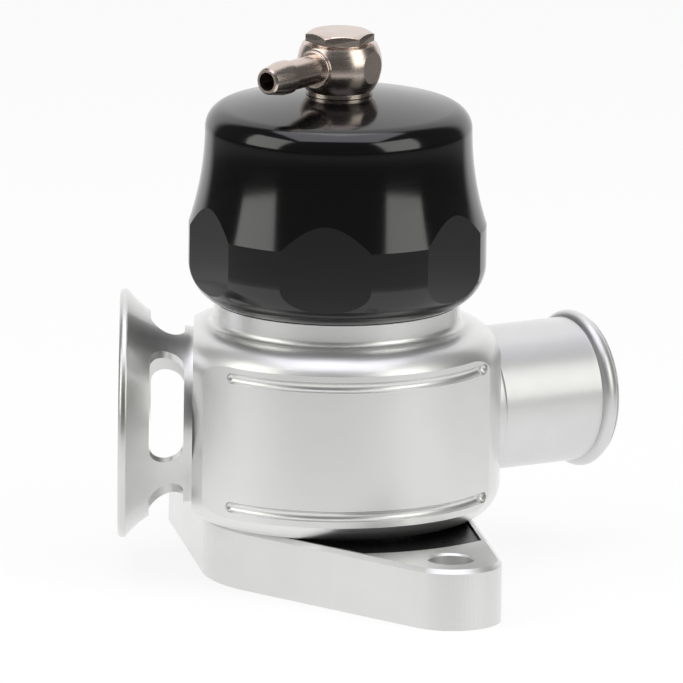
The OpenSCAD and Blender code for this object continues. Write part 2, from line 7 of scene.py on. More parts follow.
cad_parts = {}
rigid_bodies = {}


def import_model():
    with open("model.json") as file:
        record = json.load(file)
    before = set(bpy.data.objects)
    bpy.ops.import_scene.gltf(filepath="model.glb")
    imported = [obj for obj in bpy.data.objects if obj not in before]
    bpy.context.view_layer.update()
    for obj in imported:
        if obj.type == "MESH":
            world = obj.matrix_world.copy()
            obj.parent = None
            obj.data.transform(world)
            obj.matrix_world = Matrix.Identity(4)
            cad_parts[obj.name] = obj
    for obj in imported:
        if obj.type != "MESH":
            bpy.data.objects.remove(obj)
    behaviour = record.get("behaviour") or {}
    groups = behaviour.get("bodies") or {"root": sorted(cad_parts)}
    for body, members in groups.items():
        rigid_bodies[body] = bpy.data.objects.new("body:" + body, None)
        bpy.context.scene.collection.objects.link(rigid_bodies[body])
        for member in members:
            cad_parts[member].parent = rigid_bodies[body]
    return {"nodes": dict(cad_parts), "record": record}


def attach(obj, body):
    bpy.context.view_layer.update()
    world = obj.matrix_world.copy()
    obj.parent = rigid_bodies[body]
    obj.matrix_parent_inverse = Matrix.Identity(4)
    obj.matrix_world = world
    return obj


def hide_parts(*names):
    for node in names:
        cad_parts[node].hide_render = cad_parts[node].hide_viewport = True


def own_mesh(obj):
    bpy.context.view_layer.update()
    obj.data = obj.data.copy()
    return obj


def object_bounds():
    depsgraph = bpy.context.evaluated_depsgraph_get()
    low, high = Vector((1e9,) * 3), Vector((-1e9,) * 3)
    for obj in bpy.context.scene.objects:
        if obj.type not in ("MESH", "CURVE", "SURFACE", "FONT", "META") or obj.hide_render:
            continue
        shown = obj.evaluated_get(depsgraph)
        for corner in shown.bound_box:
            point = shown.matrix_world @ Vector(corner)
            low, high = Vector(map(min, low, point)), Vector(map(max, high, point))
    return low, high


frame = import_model()
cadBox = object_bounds()
scene = bpy.context.scene
mm = 0.001
print("frame loaded:", len(frame["nodes"]), "nodes")


# colours and nodes

def hexToLinear(text):
    parts = [int(text[i:i + 2], 16) / 255 for i in (1, 3, 5)]
    curve = [c / 12.92 if c <= 0.04045 else ((c + 0.055) / 1.055) ** 2.4 for c in parts]
    return (*curve, 1.0)


def addNode(tree, kind, inputs=None, **settings):
    made = tree.nodes.new(kind)
    for name, value in settings.items():
        setattr(made, name, value)
    for name, value in (inputs or {}).items():
        if isinstance(value, bpy.types.NodeSocket):
            tree.links.new(value, made.inputs[name])
        else:
            made.inputs[name].default_value = value
    return made


def perMm(size):
    return 1 / (size * mm)  # texture scale whose features are about this many millimetres


def newMaterial(name):
    material = bpy.data.materials.new(name)
    material.use_nodes = True
    material.node_tree.nodes.clear()
    return material, material.node_tree


# grain stretched along a machined surface: long one way, fine the other
def grainNoise(tree, turn, lengthMm, finenessMm, detail=3.0):
    place = addNode(tree, "ShaderNodeTexCoord")
    spin = addNode(tree, "ShaderNodeMapping", {"Vector": place.outputs["Object"], "Rotation": turn})
    across = perMm(finenessMm)
    along = perMm(lengthMm)
    stretch = addNode(tree, "ShaderNodeMapping",
                      {"Vector": spin.outputs["Vector"], "Scale": (along, along, across)})
    return addNode(tree, "ShaderNodeTexNoise",
                   {"Vector": stretch.outputs["Vector"], "Scale": 1.0, "Detail": detail, "Roughness": 0.6})


plainIor = 1.5  # plastics and rubber, and the default that metals keep
filmIor = 1.65  # clear oxide film of anodised aluminium


# a surface with machining grain, lengths in millimetres; film is the clear layer over it
def machinedMetal(name, look):
    material, tree = newMaterial(name)
    grain = grainNoise(tree, look.get("turn", (0, 0, 0)), look["grainLength"], look["grainFine"])
    cloud = grainNoise(tree, (0, 0, 0), look["cloud"], look["cloud"], 2.0)
    tint = addNode(tree, "ShaderNodeMix",
                   {"Factor": cloud.outputs["Fac"],
                    6: hexToLinear(look["dark"]), 7: hexToLinear(look["light"])}, data_type="RGBA")
    rough = addNode(tree, "ShaderNodeMapRange",
                    {"Value": grain.outputs["Fac"], "From Min": 0.3, "From Max": 0.7,
                     "To Min": look["rough"][0], "To Max": look["rough"][1]})
    bump = addNode(tree, "ShaderNodeBump",
                   {"Height": grain.outputs["Fac"], "Strength": look["bump"],
                    "Distance": look["depth"] * mm})
    shade = addNode(tree, "ShaderNodeBsdfPrincipled",
                    {"Base Color": tint.outputs[2], "Metallic": look["metallic"],
                     "Roughness": rough.outputs["Result"], "Normal": bump.outputs["Normal"],
                     "IOR": look.get("ior", plainIor), "Coat Weight": look.get("film", 0.0),
                     "Coat Roughness": look.get("filmRough", 0.1), "Coat IOR": filmIor})
    addNode(tree, "ShaderNodeOutputMaterial", {"Surface": shade.outputs["BSDF"]})
    return material


def alongPort(degrees):
    return (0, math.radians(-90), math.radians(-degrees))  # turns a port's axis to Z


portTurns = {"trumpet": 180, "recirc": 30}

# clear anodised aluminium, turned: pale satin grey with fine rings round the valve axis
turnedAluminium = machinedMetal("turned clear anodised aluminium", {
    "grainLength": 9, "grainFine": 0.3, "cloud": 16, "dark": "#e6e6e5", "light": "#eeeeed",
    "metallic": 1.0, "rough": (0.42, 0.48), "bump": 0.04, "depth": 0.01, "film": 1.0, "filmRough": 0.16})
# the same metal, milled: marks run along the flange
milledAluminium = machinedMetal("milled clear anodised aluminium", {
    "grainLength": 12, "grainFine": 0.35, "cloud": 18, "dark": "#e0e0df", "light": "#e9e9e8",
    "metallic": 1.0, "rough": (0.42, 0.48), "bump": 0.04, "depth": 0.01, "film": 1.0, "filmRough": 0.2})
# fine-turned aluminium of the two ports: brighter, rings round each port's axis
trumpetAluminium = machinedMetal("fine turned aluminium trumpet", {
    "turn": alongPort(portTurns["trumpet"]), "grainLength": 8, "grainFine": 0.25, "cloud": 12,
    "dark": "#d2d2d1", "light": "#e0e0de", "metallic": 1.0, "rough": (0.36, 0.42),
    "bump": 0.04, "depth": 0.01, "film": 1.0, "filmRough": 0.12})
spigotAluminium = machinedMetal("fine turned aluminium spigot", {
    "turn": alongPort(portTurns["recirc"]), "grainLength": 8, "grainFine": 0.25, "cloud": 12,
    "dark": "#d8d8d8", "light": "#e2e2e2", "metallic": 1.0, "rough": (0.46, 0.52),
    "bump": 0.04, "depth": 0.01, "film": 1.0, "filmRough": 0.2})
# black dyed anodising over a turned surface: deep black with a clear, slightly ringed gloss
blackAnodised = machinedMetal("gloss black anodised aluminium", {
    "grainLength": 12, "grainFine": 0.3, "cloud": 20, "dark": "#050506", "light": "#08080a",
    "metallic": 0.0, "rough": (0.10, 0.15), "bump": 0.04, "depth": 0.01, "ior": 1.6})
# bright nickel over brass: warm silver, nearly a mirror
nickelPlate = machinedMetal("bright nickel plate", {
    "grainLength": 4, "grainFine": 0.4, "cloud": 5, "dark": "#cfbfb5", "light": "#dccec5",
    "metallic": 1.0, "rough": (0.22, 0.29), "bump": 0.06, "depth": 0.01})
# moulded nitrile rubber: matt black with a soft sheen
moulded = machinedMetal("moulded nitrile rubber", {
    "grainLength": 0.8, "grainFine": 0.8, "cloud": 8, "dark": "#141416", "light": "#1c1c1e",
    "metallic": 0.0, "rough": (0.48, 0.62), "bump": 0.2, "depth": 0.03})
# black rubber sheet with a soft gloss, kept deep black as painted shade of the gap under the body's rim
paintedShadeSheet = machinedMetal("black sheet as painted shade", {
    "grainLength": 2, "grainFine": 2, "cloud": 9, "dark": "#08080a", "light": "#0c0c0d",
    "metallic": 0.0, "rough": (0.26, 0.34), "bump": 0.05, "depth": 0.02})
# drawn spring wire: grey steel
springWire = machinedMetal("drawn spring steel", {
    "grainLength": 3, "grainFine": 0.6, "cloud": 6, "dark": "#7e8083", "light": "#94969a",
    "metallic": 1.0, "rough": (0.28, 0.40), "bump": 0.1, "depth": 0.02})
# black oxide on steel: near black, dull metal
blackOxide = machinedMetal("black oxide steel", {
    "grainLength": 1.5, "grainFine": 0.8, "cloud": 4, "dark": "#1d1e20", "light": "#2a2b2e",
    "metallic": 0.6, "rough": (0.36, 0.5), "bump": 0.1, "depth": 0.02})
# bronze-filled fluoropolymer guide band: dull tan
filledBand = machinedMetal("bronze filled guide band", {
    "grainLength": 2, "grainFine": 0.5, "cloud": 4, "dark": "#8c744c", "light": "#a48a5e",
    "metallic": 0.0, "rough": (0.45, 0.6), "bump": 0.1, "depth": 0.02})
# turned acetal: milky white with a low sheen
turnedAcetal = machinedMetal("turned acetal", {
    "grainLength": 6, "grainFine": 0.4, "cloud": 8, "dark": "#d5d3cc", "light": "#e2e0d9",
    "metallic": 0.0, "rough": (0.36, 0.46), "bump": 0.1, "depth": 0.02})
print("materials made:", len(bpy.data.materials))


# pieces

nodeBody = {n: b for b, nodes in frame["record"]["behaviour"]["bodies"].items() for n in nodes}


def finishPiece(piece, node, material):
    piece.data.materials.clear()
    piece.data.materials.append(material)
    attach(piece, nodeBody[node])
    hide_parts(node)
    return piece


def arcPoints(centre, radius, start, end, count):
    turns = [math.radians(start + (end - start) * i / count) for i in range(count + 1)]
    return [(centre[0] + radius * math.cos(t), centre[1] + radius * math.sin(t)) for t in turns]


def rowPoints(start, end, count):
    return [tuple(Vector(start).lerp(Vector(end), i / count)) for i in range(1, count)]


# a closed section turned round Z: pairs of radius and height in millimetres
def turnedMesh(section, steps):
    work = bmesh.new()
    rings = []
    for k in range(steps):
        turn = 2 * math.pi * k / steps
        spoke = Vector((math.cos(turn), math.sin(turn), 0))
        rings.append([work.verts.new((spoke * r + Vector((0, 0, z))) * mm) for r, z in section])
    for here, after in zip(rings, rings[1:] + rings[:1]):
        for i in range(len(section)):
            work.faces.new((here[i - 1], after[i - 1], after[i], here[i]))
    bmesh.ops.remove_doubles(work, verts=work.verts, dist=1e-7)
    bmesh.ops.recalc_face_normals(work, faces=work.faces)
    return work


# takes off all that lies beyond a plane and closes the cut with one flat face
def millFlat(work, degrees, distance):
    normal = Vector((math.cos(math.radians(degrees)), math.sin(math.radians(degrees)), 0))
    everything = work.verts[:] + work.edges[:] + work.faces[:]
    bmesh.ops.bisect_plane(work, geom=everything, dist=1e-8, plane_co=normal * distance * mm,
                           plane_no=normal, clear_outer=True)
    bmesh.ops.holes_fill(work, edges=[e for e in work.edges if e.is_boundary], sides=0)


def newPiece(name, work):
    mesh = bpy.data.meshes.new(name)
    work.to_mesh(mesh)
    work.free()
    piece = bpy.data.objects.new(name, mesh)
    scene.collection.objects.link(piece)
    return piece


# turns an object's modifiers into its plain mesh
def bakeMesh(piece):
    ready = piece.evaluated_get(bpy.context.evaluated_depsgraph_get())
    mesh = bpy.data.meshes.new_from_object(ready)
    piece.modifiers.clear()
    piece.data = mesh


def cutAway(piece, cutter):
    cut = piece.modifiers.new("cut", "BOOLEAN")
    cut.operation = "DIFFERENCE"
    cut.solver = "EXACT"
    cut.object = cutter
    bakeMesh(piece)
    bpy.data.objects.remove(cutter)


# smooth all but the edges that turn by more than a few degrees, and soften the hard ones
def shadeEdges(piece, sharp, edgeMm=0.0, hard=25):
    mesh = piece.data
    mesh.polygons.foreach_set("use_smooth", [True] * len(mesh.polygons))
    mesh.set_sharp_from_angle(angle=math.radians(sharp))
    if edgeMm:
        bevel = piece.modifiers.new("edges", "BEVEL")
        bevel.width = edgeMm * mm
        bevel.segments = 2
        bevel.limit_method = "ANGLE"
        bevel.angle_limit = math.radians(hard)
        bevel.harden_normals = True


def portMatrix(degrees, height):
    turn = Matrix.Rotation(math.radians(degrees), 4, "Z") @ Matrix.Rotation(math.radians(90), 4, "Y")
    return Matrix.Translation((0, 0, height * mm)) @ turn


portPlan = {"height": 37.1, "face": 33.5, "shankEnd": 27.4, "seat": 26.0, "start": 9.0,
            "trumpet": {"turn": portTurns["trumpet"], "bore": 17.6, "shank": 19.2},
            "recirc": {"turn": portTurns["recirc"], "bore": 14.5, "shank": 16.3},
            "room": 0.1, "beyond": 45.0, "steps": 144}

# valve body: turned barrel and neck, a milled front, two port faces, grooves and holes
bodyPlan = {"foot": 14.5, "top": 59.7, "barrel": 38.8, "round": (7.5, 8.3), "bore": 20.0, "neck": 28.9,
            "neckTop": 65.1, "fillet": 1.6, "thread": 26.0, "threadTop": 78.1, "ring": (74.1, 76.3, 24.4),
            "front": 38.0, "frontEnds": (228.5, 327.0), "grooves": (21.4, 52.3), "grooveRadius": 1.3,
            "grooveOut": 38.325, "grooveEnds": (229.8, 335.2), "grooveSides": 48, "grooveRings": 96,
            "ballRings": 8, "screws": (25.2, 2.1, 13.5, 21.0), "screwTurns": (-91.2, -31.2, 88.8, 148.8),
            "screwSteps": 32, "steps": 288}


# rings of a ball-nose cutter's path along the milled front, closed by half balls
def grooveCutter(work, height):
    plan = bodyPlan
    sides = plan["grooveSides"]
    steps = plan["grooveRings"]
    ball = plan["ballRings"]
    radius = plan["grooveRadius"]
    start, end = [math.radians(turn) for turn in plan["grooveEnds"]]
    stations = []
    for i in range(ball):
        lean = math.radians(90 - 90 * i / ball)
        stations.append((start, -radius * math.sin(lean), radius * math.cos(lean)))
    for i in range(steps + 1):
        stations.append((start + (end - start) * i / steps, 0.0, radius))
    for i in range(1, ball + 1):
        lean = math.radians(90 * i / ball)
        stations.append((end, radius * math.sin(lean), radius * math.cos(lean)))
    rings = []
    for turn, ahead, size in stations:
        spoke = Vector((math.cos(turn), math.sin(turn), 0))
        along = Vector((-math.sin(turn), math.cos(turn), 0))
        centre = spoke * plan["grooveOut"] + along * ahead + Vector((0, 0, height))
        ring = []
        for k in range(sides):
            a = 2 * math.pi * k / sides
            spot = centre + (spoke * math.cos(a) + Vector((0, 0, 1)) * math.sin(a)) * max(size, 1e-4)
            ring.append(work.verts.new(spot * mm))
        rings.append(ring)
    for here, after in zip(rings, rings[1:]):
        for k in range(sides):
            work.faces.new((here[k - 1], after[k - 1], after[k], here[k]))
    work.faces.new(rings[0])
    work.faces.new(rings[-1])


def appendTurned(work, section, steps, matrix):
    other = turnedMesh(section, steps)
    bmesh.ops.transform(other, matrix=matrix, verts=other.verts)
    spare = bpy.data.meshes.new("spare")
    other.to_mesh(spare)
    other.free()
    work.from_mesh(spare)
    bpy.data.meshes.remove(spare)


plan = bodyPlan
footRound, topRound = plan["round"]
low = plan["foot"] + footRound
high = plan["top"] - topRound
depth = plan["barrel"] - plan["front"]
footOut = math.degrees(math.acos(1 - depth / footRound))  # where the front meets each rounding
topOut = math.degrees(math.acos(1 - depth / topRound))
neckSide = plan["neck"] + plan["fillet"]
footCentre = (plan["barrel"] - footRound, low)
topCentre = (plan["barrel"] - topRound, high)
section = [(plan["bore"], plan["foot"])]
section += arcPoints(footCentre, footRound, -90, -footOut, 14)
section += arcPoints(footCentre, footRound, -footOut, 0, 7)[1:]
section += rowPoints((plan["barrel"], low), (plan["barrel"], high), 30)
section += arcPoints(topCentre, topRound, 0, topOut, 7)
section += arcPoints(topCentre, topRound, topOut, 90, 14)[1:]
section += arcPoints((neckSide, plan["top"] + plan["fillet"]), plan["fillet"], 270, 180, 16)
section += [(plan["neck"], plan["neckTop"]), (plan["thread"], plan["neckTop"])]
ringLow, ringHigh, ringFloor = plan["ring"]
section += [(plan["thread"], ringLow), (ringFloor, ringLow), (ringFloor, ringHigh),
            (plan["thread"], ringHigh), (plan["thread"], plan["threadTop"]),
            (plan["bore"], plan["threadTop"])]
work = turnedMesh(section, plan["steps"])
frontStart, frontEnd = plan["frontEnds"]
for vert in work.verts:
    reach = vert.co.xy.length
    swing = math.degrees(math.atan2(vert.co.y, vert.co.x)) % 360
    if frontStart < swing < frontEnd and reach > plan["front"] * mm:
        vert.co.xy *= plan["front"] * mm / reach
for degrees in plan["frontEnds"]:
    millFlat(work, degrees, plan["front"])
for port in ("trumpet", "recirc"):
    millFlat(work, portPlan[port]["turn"], portPlan["face"])
valveBody = newPiece("valveBody", work)
work = bmesh.new()
for height in plan["grooves"]:
    grooveCutter(work, height)
bmesh.ops.recalc_face_normals(work, faces=work.faces)
for port in ("trumpet", "recirc"):
    bore = portPlan[port]["bore"]
    seatRadius = portPlan[port]["shank"] + portPlan["room"]
    cutSection = [(0, portPlan["start"]), (bore, portPlan["start"]), (bore, portPlan["seat"]),
                  (seatRadius, portPlan["seat"]), (seatRadius, portPlan["beyond"]), (0, portPlan["beyond"])]
    matrix = portMatrix(portPlan[port]["turn"], portPlan["height"])
    appendTurned(work, cutSection, portPlan["steps"], matrix)
screwReach, screwRadius, screwStart, screwEnd = plan["screws"]
cutSection = [(0, screwStart), (screwRadius, screwStart), (screwRadius, screwEnd), (0, screwEnd)]
for degrees in plan["screwTurns"]:
    turn = math.radians(degrees)
    spot = Vector((math.cos(turn), math.sin(turn), 0)) * screwReach * mm
    appendTurned(work, cutSection, plan["screwSteps"], Matrix.Translation(spot))
cutAway(valveBody, newPiece("bodyCutter", work))
shadeEdges(valveBody, sharp=9)
finishPiece(valveBody, "body", turnedAluminium)
print("valve body:", len(valveBody.data.polygons), "faces")

# cap: a turned bell with six milled flats, hollow for the spring
capPlan = {"foot": 65.1, "neck": 28.9, "step": 0.2, "radius": 35.0, "footRound": 10.0, "landTop": 83.5,
           "waist": 31.4, "edge": 5.5, "top": 114.8, "dome": 122.0, "flat": 33.3, "flatTurn": -94.6,
           "thread": 26.1, "threadTop": 78.6, "chamber": 25.0, "ceiling": 103.8, "hole": 4.1, "spot": 114.6,
           "flats": 6, "steps": 288}
plan = capPlan
domeCentre = plan["top"] - plan["dome"]
edgeRadius = plan["waist"] - plan["edge"]
edgeHeight = domeCentre + math.sqrt((plan["dome"] - plan["edge"]) ** 2 - edgeRadius ** 2)
edgeLean = math.degrees(math.atan2(edgeHeight - domeCentre, edgeRadius))
waistIn = plan["radius"] - plan["waist"]
waistRadius = (waistIn ** 2 + (edgeHeight - plan["landTop"]) ** 2) / (2 * waistIn)
waistLean = math.degrees(math.asin((edgeHeight - plan["landTop"]) / waistRadius))
footCentre = plan["radius"] - plan["footRound"]
footLean = math.degrees(math.acos((plan["neck"] - footCentre) / plan["footRound"]))
footHeight = plan["foot"] + plan["step"] + plan["footRound"] * math.sin(math.radians(footLean))
spotLean = math.degrees(math.asin((plan["spot"] - domeCentre) / plan["dome"]))
section = [(plan["neck"], plan["foot"])]
section += arcPoints((footCentre, footHeight), plan["footRound"], -footLean, 0, 22)
section += rowPoints((plan["radius"], footHeight), (plan["radius"], plan["landTop"]), 8)
section += arcPoints((plan["waist"] + waistRadius, edgeHeight), waistRadius, 180 + waistLean, 180, 36)
section += arcPoints((edgeRadius, edgeHeight), plan["edge"], 0, edgeLean, 20)[1:]
section += arcPoints((0, domeCentre), plan["dome"], edgeLean, spotLean, 16)[1:]
section += [(plan["hole"], plan["spot"]), (plan["hole"], plan["ceiling"]),
            (plan["chamber"], plan["ceiling"]), (plan["chamber"], plan["threadTop"]),
            (plan["thread"], plan["threadTop"]), (plan["thread"], plan["foot"])]
work = turnedMesh(section, plan["steps"])
for k in range(plan["flats"]):
    millFlat(work, plan["flatTurn"] + 360 * k / plan["flats"], plan["flat"])
blackCap = newPiece("blackCap", work)
shadeEdges(blackCap, sharp=9)
finishPiece(blackCap, "cap", blackAnodised)
print("cap:", len(blackCap.data.polygons), "faces")

# vent trumpet: a turned flare whose neck is pierced by four slots
trumpetPlan = {"wall": 2.8, "flare": 23.0, "flareAt": 31.0, "footOut": 0.2, "footRise": 0.6, "rim": 29.3,
               "face": 50.9, "lip": 1.1, "lipBack": 49.534, "lipIn": 0.3, "mouthIn": 0.2, "steps": 240,
               "slots": 4, "slotMid": 39.6, "slotWidth": 8.1, "slotHalf": 36.3, "slotTurn": 107.7,
               "slotReach": (10.0, 40.0), "slotRow": 16, "slotArc": 24}
plan = trumpetPlan
throat = portPlan["trumpet"]["bore"]
flareCentre = (throat + plan["wall"] + plan["flare"], plan["flareAt"])
innerFlare = plan["flare"] + plan["wall"]
footLean = math.degrees(math.asin((portPlan["face"] + plan["footRise"] - plan["flareAt"]) / plan["flare"]))
lipLean = math.degrees(math.acos((flareCentre[0] - plan["rim"] + plan["lipIn"]) / plan["flare"]))
mouthLean = math.degrees(math.asin((plan["face"] - plan["mouthIn"] - plan["flareAt"]) / innerFlare))
section = [(throat, portPlan["shankEnd"]), (portPlan["trumpet"]["shank"], portPlan["shankEnd"]),
           (portPlan["trumpet"]["shank"], portPlan["face"]),
           (throat + plan["wall"] + plan["footOut"], portPlan["face"])]
section += arcPoints(flareCentre, plan["flare"], 180 - footLean, 180 - lipLean, 36)
section += arcPoints((plan["rim"] - plan["lip"], plan["lipBack"]), plan["lip"], -30, 0, 6)
section += arcPoints((plan["rim"] - plan["lip"], plan["face"] - plan["lip"]), plan["lip"], 0, 90, 14)
section += arcPoints(flareCentre, innerFlare, 180 - mouthLean, 180, 40)
ventTrumpet = newPiece("ventTrumpet", turnedMesh(section, plan["steps"]))

# one slot's cutter: a fan of the neck with round ends
endRadius = plan["slotWidth"] / 2
fan = math.radians(plan["slotHalf"]) - math.asin(endRadius / (throat + plan["wall"] + 1))
outline = []
for side in (1, -1):
    row = range(-plan["slotRow"], plan["slotRow"] + 1)
    outline += [(side * fan * i / plan["slotRow"], 0.0, side * endRadius) for i in row]
    for i in range(1, plan["slotArc"]):
        lean = math.radians(90 - 180 * i / plan["slotArc"])
        outline.append((side * fan, side * endRadius * math.cos(lean), side * endRadius * math.sin(lean)))
work = bmesh.new()
loops = []
for reach in plan["slotReach"]:
    loop = []
    for turn, sideways, rise in outline:
        spoke = Vector((math.cos(turn), math.sin(turn), 0)) * reach
        spoke += Vector((-math.sin(turn), math.cos(turn), 0)) * sideways
        loop.append(work.verts.new((spoke + Vector((0, 0, plan["slotMid"] + rise))) * mm))
    loops.append(loop)
for i in range(len(outline)):
    work.faces.new((loops[0][i - 1], loops[1][i - 1], loops[1][i], loops[0][i]))
work.faces.new(loops[0])
work.faces.new(loops[1])
bmesh.ops.recalc_face_normals(work, faces=work.faces)
slotCutter = newPiece("slotCutter", work)


def newTree(name, sockets):
    tree = bpy.data.node_groups.new(name, "GeometryNodeTree")
    tree.interface.new_socket("Geometry", in_out="INPUT", socket_type="NodeSocketGeometry")
    for label, kind in sockets.items():
        tree.interface.new_socket(label, in_out="INPUT", socket_type=kind)
    tree.interface.new_socket("Geometry", in_out="OUTPUT", socket_type="NodeSocketGeometry")
    return tree


# gives an object a tree, with its inputs set by identifier, and keeps the result as a mesh
def runTree(piece, tree, values):
    modifier = piece.modifiers.new(tree.name, "NODES")
    modifier.node_group = tree
    for item in tree.interface.items_tree:
        if item.in_out == "INPUT" and item.name in values:
            modifier[item.identifier] = values[item.name]
    bakeMesh(piece)


tree = newTree("slotted neck", {"Cutter": "NodeSocketObject", "Count": "NodeSocketInt",
                                "First Turn": "NodeSocketFloat", "Material": "NodeSocketMaterial"})
given = addNode(tree, "NodeGroupInput")
cutter = addNode(tree, "GeometryNodeObjectInfo", {"Object": given.outputs["Cutter"]})
spots = addNode(tree, "GeometryNodePoints", {"Count": given.outputs["Count"]})
index = addNode(tree, "GeometryNodeInputIndex")
share = addNode(tree, "ShaderNodeMath", {0: 2 * math.pi, 1: given.outputs["Count"]}, operation="DIVIDE")
turn = addNode(tree, "ShaderNodeMath",
               {0: index.outputs[0], 1: share.outputs[0], 2: given.outputs["First Turn"]},
               operation="MULTIPLY_ADD")
spin = addNode(tree, "ShaderNodeCombineXYZ", {"Z": turn.outputs[0]})
copies = addNode(tree, "GeometryNodeInstanceOnPoints",
                 {"Points": spots.outputs[0], "Instance": cutter.outputs["Geometry"],
                  "Rotation": spin.outputs[0]})
solid = addNode(tree, "GeometryNodeRealizeInstances", {"Geometry": copies.outputs[0]})
pierced = addNode(tree, "GeometryNodeMeshBoolean",
                  {"Mesh 1": given.outputs["Geometry"], "Mesh 2": solid.outputs[0]},
                  operation="DIFFERENCE", solver="EXACT")
real = addNode(tree, "GeometryNodeRealizeInstances", {"Geometry": pierced.outputs["Mesh"]})
painted = addNode(tree, "GeometryNodeSetMaterial",
                  {"Geometry": real.outputs[0], "Material": given.outputs["Material"]})
addNode(tree, "NodeGroupOutput", {"Geometry": painted.outputs[0]})
runTree(ventTrumpet, tree, {"Cutter": slotCutter, "Count": plan["slots"],
                            "First Turn": math.radians(plan["slotTurn"]), "Material": trumpetAluminium})
bpy.data.objects.remove(slotCutter)
ventTrumpet.data.transform(portMatrix(portPlan["trumpet"]["turn"], portPlan["height"]))
shadeEdges(ventTrumpet, sharp=10, edgeMm=0.2, hard=40)
finishPiece(ventTrumpet, "trumpet", trumpetAluminium)
print("trumpet:", len(ventTrumpet.data.polygons), "faces")

# hose spigot: a turned tube with a collar at its foot and a bead near its end
spigotPlan = {"radius": 17.0, "end": 67.4, "collar": 18.1, "collarEnd": 36.8, "collarRound": 1.0,
              "bead": 18.5, "beadAt": 64.9, "beadRound": 2.0, "lip": 17.3, "lipStep": 0.2, "edge": 0.4,
              "steps": 240}
plan = spigotPlan
bore = portPlan["recirc"]["bore"]
beadSink = plan["beadRound"] - plan["bead"] + plan["radius"]
beadHalf = math.sqrt(plan["beadRound"] ** 2 - beadSink ** 2)
beadLean = math.degrees(math.atan2(beadHalf, beadSink))
section = [(bore, portPlan["shankEnd"]), (portPlan["recirc"]["shank"], portPlan["shankEnd"]),
           (portPlan["recirc"]["shank"], portPlan["face"]), (plan["collar"], portPlan["face"])]
section += arcPoints((plan["collar"] - plan["collarRound"], plan["collarEnd"] - plan["collarRound"]),
                     plan["collarRound"], 0, 90, 12)
section += [(plan["radius"], plan["collarEnd"]), (plan["radius"], plan["beadAt"] - beadHalf)]
section += arcPoints((plan["bead"] - plan["beadRound"], plan["beadAt"]), plan["beadRound"],
                     -beadLean, beadLean, 24)[1:]
section += [(plan["lip"], plan["beadAt"] + beadHalf + plan["lipStep"])]
section += arcPoints((plan["lip"] - plan["edge"], plan["end"] - plan["edge"]), plan["edge"], 0, 90, 12)
section += [(bore + plan["edge"], plan["end"]), (bore, plan["end"] - plan["edge"])]
hoseSpigot = newPiece("hoseSpigot", turnedMesh(section, plan["steps"]))
hoseSpigot.data.transform(portMatrix(portPlan["recirc"]["turn"], portPlan["height"]))
shadeEdges(hoseSpigot, sharp=12)
finishPiece(hoseSpigot, "recirc_spigot", spigotAluminium)
print("spigot:", len(hoseSpigot.data.polygons), "faces")

# banjo fitting: a turned ball with two small flats, and a hose barb out of its side
banjoPlan = {"radius": 10.0, "height": 121.8, "foot": 115.6, "head": 126.7, "hole": 4.1,
             "flats": (-33, 147), "flat": 9.25, "turn": -128, "root": 6.0, "collar": 4.6,
             "collarEnd": 10.2, "stem": 3.5, "barb": 4.0, "barbFrom": 19.8, "barbTo": 22.5, "tip": 3.15,
             "reach": 27.5, "edge": 0.4, "bore": 2.2, "steps": 192, "barbSteps": 96}
plan = banjoPlan
footLean = math.degrees(math.asin((plan["foot"] - plan["height"]) / plan["radius"]))
headLean = math.degrees(math.asin((plan["head"] - plan["height"]) / plan["radius"]))
section = [(plan["hole"], plan["foot"])]
section += arcPoints((0, plan["height"]), plan["radius"], footLean, headLean, 48)
section += [(plan["hole"], plan["head"])]
work = turnedMesh(section, plan["steps"])
for degrees in plan["flats"]:
    millFlat(work, degrees, plan["flat"])
section = [(plan["bore"], plan["root"]), (plan["collar"], plan["root"])]
section += arcPoints((plan["collar"] - plan["edge"], plan["collarEnd"] - plan["edge"]), plan["edge"],
                     0, 90, 6)
section += [(plan["stem"], plan["collarEnd"]), (plan["stem"], plan["barbFrom"]),
            (plan["barb"], plan["barbFrom"] + plan["edge"]), (plan["barb"], plan["barbTo"]),
            (plan["tip"], plan["reach"] - plan["edge"]), (plan["tip"] - plan["edge"], plan["reach"]),
            (plan["bore"], plan["reach"])]
appendTurned(work, section, plan["barbSteps"], portMatrix(plan["turn"], plan["height"]))
banjoFitting = newPiece("banjoFitting", work)
shadeEdges(banjoFitting, sharp=20, edgeMm=0.15, hard=20)
finishPiece(banjoFitting, "banjo_fitting", nickelPlate)
print("banjo fitting:", len(banjoFitting.data.polygons), "faces")

# socket screws from below: one screw, repeated by a tree
screwPlan = {"head": 3.5, "foot": 0.6, "headTop": 4.6, "shank": 2.0, "tip": 20.0, "hex": 3.0,
             "hexDepth": 2.0, "edge": 0.35, "steps": 48, "reach": 25.2, "turn": -61.2, "half": 30.0}
plan = screwPlan
floorOfHex = plan["foot"] + plan["hexDepth"]
section = [(0, floorOfHex), (plan["hex"] / 2, floorOfHex), (plan["hex"] / 2, plan["foot"]),
           (plan["head"] - plan["edge"], plan["foot"]), (plan["head"], plan["foot"] + plan["edge"]),
           (plan["head"], plan["headTop"]), (plan["shank"], plan["headTop"]),
           (plan["shank"], plan["tip"] - plan["edge"]), (plan["shank"] - plan["edge"], plan["tip"]),
           (0, plan["tip"])]
work = turnedMesh(section, plan["steps"])
hair = 1e-7
for vert in work.verts:
    reach = vert.co.xy.length
    if 0 < reach < plan["hex"] / 2 * mm + hair and vert.co.z < floorOfHex * mm + hair:
        swing = (math.degrees(math.atan2(vert.co.y, vert.co.x)) + 30) % 60 - 30
        vert.co.xy *= 1 / math.cos(math.radians(swing))  # round hole to hexagon
oneScrew = newPiece("oneScrew", work)
